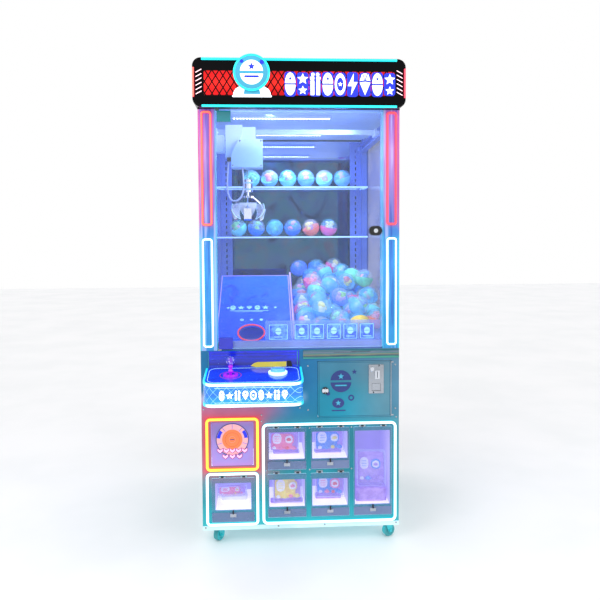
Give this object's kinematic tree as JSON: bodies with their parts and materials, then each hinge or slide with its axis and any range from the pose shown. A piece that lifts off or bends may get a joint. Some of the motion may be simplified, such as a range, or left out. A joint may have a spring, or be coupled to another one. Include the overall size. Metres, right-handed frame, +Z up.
{
  "type": "capsule toy crane machine",
  "caption": "Tall glass-fronted crane machine that sells toy capsules, with light-tube trim, a joystick desk, a prize flap, a coin door and clear locker doors.",
  "frame": {"origin": "on the floor under the middle of the overall bounding box", "axes": "+Z up, +X to the right seen by the player, the player stands at -Y"},
  "size_m": [0.88, 1.085, 2.077],
  "materials": {
    "blue_panel": "board faced with satin teal and lilac printed sheet",
    "side_paint": "board faced with a satin blue printed sheet",
    "tray_metal": "pale powder coat",
    "deck_laminate": "laminated board",
    "liner_white": "bright white powder coat",
    "internals": "plain grey metal",
    "door_steel": "satin powder coat",
    "black_plastic": "moulded black",
    "coin_door_paint": "satin teal print",
    "chrome": "polished",
    "steel": "brushed",
    "zinc": "bright teal coat",
    "caster_rubber": "soft tread",
    "clear_acrylic": "clear sheet with lit edges",
    "prize_acrylic": "lilac acrylic",
    "light_white": "diffused light tube",
    "light_red": "diffused light tube",
    "light_cyan": "diffused light bar",
    "light_yellow": "diffused light tube",
    "desk_blue": "glossy printed acrylic",
    "apron_print": "printed band with a light lattice",
    "stick_violet": "tinted translucent grip",
    "button_blue": "translucent dome",
    "column_print": "gradient printed acrylic face",
    "upright_white": "white powder coat",
    "side_glass": "tempered glass",
    "mirror": "silvered glass",
    "led_bar": "opal cover",
    "header_black": "gloss black",
    "marquee_print": "back-lit printed acrylic",
    "chute_blue": "star-speckled blue acrylic",
    "gantry_alu": "anodised",
    "trolley_white": "white powder coat",
    "cable_white": "soft white sheath",
    "capsule_shell": "clear and tinted two-part shell"
  },
  "bodies": {
    "cabinet": {"base_tray": "tray_metal", "cabinet_panels": "side_paint", "front_panel": "blue_panel", "deck_board": "deck_laminate", "compartment_liners": "liner_white", "service_internals": "internals", "power_inlet": "black_plastic", "hinge_leaves": "steel", "neon_white": "light_white", "neon_red": "light_red", "neon_cyan": "light_cyan", "neon_yellow": "light_yellow", "desk_shell": "apron_print", "desk_top": "desk_blue", "light_columns": "column_print", "rear_posts": "upright_white", "side_glass": "side_glass", "back_mirror": "mirror", "ceiling_lights": "led_bar", "header_box": "header_black", "marquee_face": "marquee_print", "glass_shelves": "side_glass", "playfield_boards": "chute_blue", "gantry_rails": "gantry_alu", "capsules": "capsule_shell"},
    "caster_fl": {"caster_fork_fl": "zinc"},
    "wheel_fl": {"caster_wheel_fl": "caster_rubber"},
    "caster_fr": {"caster_fork_fr": "zinc"},
    "wheel_fr": {"caster_wheel_fr": "caster_rubber"},
    "caster_rl": {"caster_fork_rl": "zinc"},
    "wheel_rl": {"caster_wheel_rl": "caster_rubber"},
    "caster_rr": {"caster_fork_rr": "zinc"},
    "wheel_rr": {"caster_wheel_rr": "caster_rubber"},
    "service_door": {"service_door": "door_steel"},
    "power_switch": {"power_switch": "black_plastic"},
    "coin_door": {"coin_door": "coin_door_paint", "coin_plate": "chrome"},
    "coin_lock": {"coin_door_lock": "chrome"},
    "reject_button": {"reject_button": "steel"},
    "return_flap": {"coin_return_flap": "steel"},
    "prize_flap": {"prize_door": "prize_acrylic"},
    "stick_gimbal": {"joystick_gimbal": "steel"},
    "stick": {"joystick_stick": "stick_violet"},
    "drop_button": {"drop_button": "button_blue"},
    "glass_door": {"glass_door": "side_glass", "glass_door_fittings": "black_plastic"},
    "bridge": {"bridge": "gantry_alu"},
    "trolley": {"trolley": "trolley_white", "claw_cable": "cable_white"},
    "claw": {"hoist_wire": "steel", "claw_housing": "chrome"},
    "prong_1": {"claw_prong_1": "clear_acrylic"},
    "prong_2": {"claw_prong_2": "clear_acrylic"},
    "prong_3": {"claw_prong_3": "clear_acrylic"},
    "locker_1": {"locker_door_1": "clear_acrylic"},
    "locker_2": {"locker_door_2": "clear_acrylic"},
    "locker_3": {"locker_door_3": "clear_acrylic"},
    "locker_4": {"locker_door_4": "clear_acrylic"},
    "locker_5": {"locker_door_5": "clear_acrylic"},
    "locker_6": {"locker_door_6": "clear_acrylic"}
  },
  "joints": [
    {"name": "glass_door_hinge", "type": "hinge", "parent": "cabinet", "child": "glass_door", "pos_m": [-0.344, -0.3425, 1.356], "axis": [0, 0, -1], "range_deg": [0, 100]},
    {"name": "bridge_travel", "type": "slide", "parent": "cabinet", "child": "bridge", "axis": [0, 1, 0], "range_m": [0, 0.28]},
    {"name": "trolley_travel", "type": "slide", "parent": "bridge", "child": "trolley", "axis": [1, 0, 0], "range_m": [0, 0.48]},
    {"name": "claw_lift", "type": "slide", "parent": "trolley", "child": "claw", "axis": [0, 0, -1], "range_m": [0, 0.225], "deforming": ["hoist_wire"]},
    {"name": "prong_1_close", "type": "hinge", "parent": "claw", "child": "prong_1", "pos_m": [-0.225, -0.0945, 1.517], "axis": [1, 0, 0], "range_deg": [0, 20]},
    {"name": "prong_2_close", "type": "hinge", "parent": "claw", "child": "prong_2", "pos_m": [-0.20595, -0.0615, 1.517], "axis": [-0.5, 0.866, 0], "range_deg": [0, 20]},
    {"name": "prong_3_close", "type": "hinge", "parent": "claw", "child": "prong_3", "pos_m": [-0.24405, -0.0615, 1.517], "axis": [-0.5, -0.866, 0], "range_deg": [0, 20]},
    {"name": "locker_1_hinge", "type": "hinge", "parent": "cabinet", "child": "locker_1", "pos_m": [-0.062, -0.353, 0.518], "axis": [-1, 0, 0], "range_deg": [0, 90]},
    {"name": "locker_2_hinge", "type": "hinge", "parent": "cabinet", "child": "locker_2", "pos_m": [0.124, -0.353, 0.518], "axis": [-1, 0, 0], "range_deg": [0, 90]},
    {"name": "locker_3_hinge", "type": "hinge", "parent": "cabinet", "child": "locker_3", "pos_m": [0.309, -0.353, 0.518], "axis": [-1, 0, 0], "range_deg": [0, 90]},
    {"name": "locker_4_hinge", "type": "hinge", "parent": "cabinet", "child": "locker_4", "pos_m": [-0.062, -0.353, 0.32], "axis": [-1, 0, 0], "range_deg": [0, 90]},
    {"name": "locker_5_hinge", "type": "hinge", "parent": "cabinet", "child": "locker_5", "pos_m": [0.124, -0.353, 0.32], "axis": [-1, 0, 0], "range_deg": [0, 90]},
    {"name": "locker_6_hinge", "type": "hinge", "parent": "cabinet", "child": "locker_6", "pos_m": [-0.2935, -0.353, 0.308], "axis": [-1, 0, 0], "range_deg": [0, 90]},
    {"name": "coin_door_hinge", "type": "hinge", "parent": "cabinet", "child": "coin_door", "pos_m": [0.389, -0.349, 0.677], "axis": [0, 0, 1], "range_deg": [0, 105]},
    {"name": "coin_lock_turn", "type": "hinge", "parent": "coin_door", "child": "coin_lock", "pos_m": [0.104, -0.3475, 0.6734], "axis": [0, 1, 0], "range_deg": [0, 90]},
    {"name": "reject_press", "type": "slide", "parent": "coin_door", "child": "reject_button", "axis": [0, 1, 0], "range_m": [0, 0.005], "stiffness_N_per_m": 400},
    {"name": "return_flap_swing", "type": "hinge", "parent": "coin_door", "child": "return_flap", "pos_m": [0.324, -0.3515, 0.7], "axis": [1, 0, 0], "range_deg": [0, 50]},
    {"name": "prize_flap_swing", "type": "hinge", "parent": "cabinet", "child": "prize_flap", "pos_m": [-0.295, -0.3415, 0.538], "axis": [1, 0, 0], "range_deg": [0, 70]},
    {"name": "stick_tilt_y", "type": "hinge", "parent": "cabinet", "child": "stick_gimbal", "pos_m": [-0.294, -0.4425, 0.735], "axis": [1, 0, 0], "range_deg": [-12, 12], "stiffness_Nm_per_rad": 1.2},
    {"name": "stick_tilt_x", "type": "hinge", "parent": "stick_gimbal", "child": "stick", "pos_m": [-0.294, -0.4425, 0.735], "axis": [0, 1, 0], "range_deg": [-12, 12], "stiffness_Nm_per_rad": 1.2},
    {"name": "drop_press", "type": "slide", "parent": "cabinet", "child": "drop_button", "axis": [0, 0, -1], "range_m": [0, 0.004], "stiffness_N_per_m": 900},
    {"name": "service_door_hinge", "type": "hinge", "parent": "cabinet", "child": "service_door", "pos_m": [0.2985, 0.5315, 0.475], "axis": [0, 0, -1], "range_deg": [0, 110]},
    {"name": "power_rocker", "type": "hinge", "parent": "cabinet", "child": "power_switch", "pos_m": [0.366, 0.5295, 0.225], "axis": [1, 0, 0], "range_deg": [0, 10]},
    {"name": "caster_fl_swivel", "type": "hinge", "parent": "cabinet", "child": "caster_fl", "pos_m": [-0.372, -0.2925, 0.066], "axis": [0, 0, 1], "continuous": true},
    {"name": "caster_fr_swivel", "type": "hinge", "parent": "cabinet", "child": "caster_fr", "pos_m": [0.372, -0.2925, 0.066], "axis": [0, 0, 1], "continuous": true},
    {"name": "caster_rl_swivel", "type": "hinge", "parent": "cabinet", "child": "caster_rl", "pos_m": [-0.372, 0.4775, 0.066], "axis": [0, 0, 1], "continuous": true},
    {"name": "caster_rr_swivel", "type": "hinge", "parent": "cabinet", "child": "caster_rr", "pos_m": [0.372, 0.4775, 0.066], "axis": [0, 0, 1], "continuous": true},
    {"name": "wheel_fl_spin", "type": "hinge", "parent": "caster_fl", "child": "wheel_fl", "pos_m": [-0.36053, -0.27612, 0.028], "axis": [0.8192, -0.5736, 0], "continuous": true},
    {"name": "wheel_fr_spin", "type": "hinge", "parent": "caster_fr", "child": "wheel_fr", "pos_m": [0.39013, -0.28405, 0.028], "axis": [0.4226, -0.9063, 0], "continuous": true},
    {"name": "wheel_rl_spin", "type": "hinge", "parent": "caster_rl", "child": "wheel_rl", "pos_m": [-0.37884, 0.49629, 0.028], "axis": [0.9397, 0.342, 0], "continuous": true},
    {"name": "wheel_rr_spin", "type": "hinge", "parent": "caster_rr", "child": "wheel_rr", "pos_m": [0.38045, 0.49563, 0.028], "axis": [0.9063, -0.4226, 0], "continuous": true}
  ],
  "couplings": [
    {"joint": "prong_2_close", "follows": "prong_1_close", "ratio": 1},
    {"joint": "prong_3_close", "follows": "prong_1_close", "ratio": 1}
  ]
}
